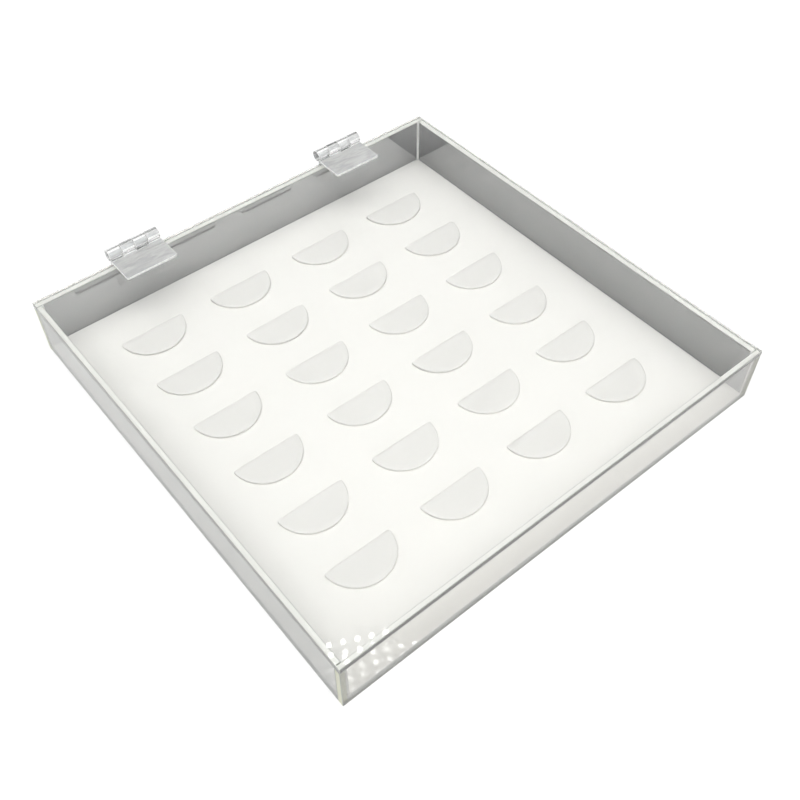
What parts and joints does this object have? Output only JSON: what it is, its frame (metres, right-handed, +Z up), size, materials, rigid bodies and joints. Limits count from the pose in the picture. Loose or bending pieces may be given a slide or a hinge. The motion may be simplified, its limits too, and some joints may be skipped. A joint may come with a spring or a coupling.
{
  "type": "false eyelash case",
  "caption": "Shallow square clear acrylic case with a white floor, rows of half-moon lash pads and a flat clear lid on pinned butt hinges.",
  "frame": {"origin": "centre of the case's underside, lid closed", "axes": "+Z up, +Y towards the hinged side, +X to the right seen from the front"},
  "size_m": [0.24, 0.246, 0.037],
  "materials": {
    "clear_acrylic": "polished clear cast sheet with saw-cut, polished edges",
    "white_acrylic": "glossy opaque white sheet",
    "clear_pad": "smooth translucent die-cut pad",
    "clear_hinge": "clear injection moulding",
    "hinge_pin": "clear moulded rod"
  },
  "bodies": {
    "case": {"base_panel": "white_acrylic", "front_wall": "clear_acrylic", "back_wall": "clear_acrylic", "left_wall": "clear_acrylic", "right_wall": "clear_acrylic", "left_wall_leaf": "clear_hinge", "right_wall_leaf": "clear_hinge", "left_hinge_pin": "hinge_pin", "right_hinge_pin": "hinge_pin", "lash_pad_r1c1": "clear_pad", "lash_pad_r1c2": "clear_pad", "lash_pad_r1c3": "clear_pad", "lash_pad_r1c4": "clear_pad", "lash_pad_r2c1": "clear_pad", "lash_pad_r2c2": "clear_pad", "lash_pad_r2c3": "clear_pad", "lash_pad_r2c4": "clear_pad", "lash_pad_r3c1": "clear_pad", "lash_pad_r3c2": "clear_pad", "lash_pad_r3c3": "clear_pad", "lash_pad_r3c4": "clear_pad", "lash_pad_r4c1": "clear_pad", "lash_pad_r4c2": "clear_pad", "lash_pad_r4c3": "clear_pad", "lash_pad_r4c4": "clear_pad", "lash_pad_r5c1": "clear_pad", "lash_pad_r5c2": "clear_pad", "lash_pad_r5c3": "clear_pad", "lash_pad_r5c4": "clear_pad", "lash_pad_r6c1": "clear_pad", "lash_pad_r6c2": "clear_pad", "lash_pad_r6c3": "clear_pad", "lash_pad_r6c4": "clear_pad"},
    "lid": {"lid_panel": "clear_acrylic", "left_lid_leaf": "clear_hinge", "right_lid_leaf": "clear_hinge"}
  },
  "joints": [
    {"name": "lid_hinge", "type": "hinge", "parent": "case", "child": "lid", "pos_m": [0, 0.123, 0.034], "axis": [-1, 0, 0], "range_deg": [0, 188]}
  ]
}
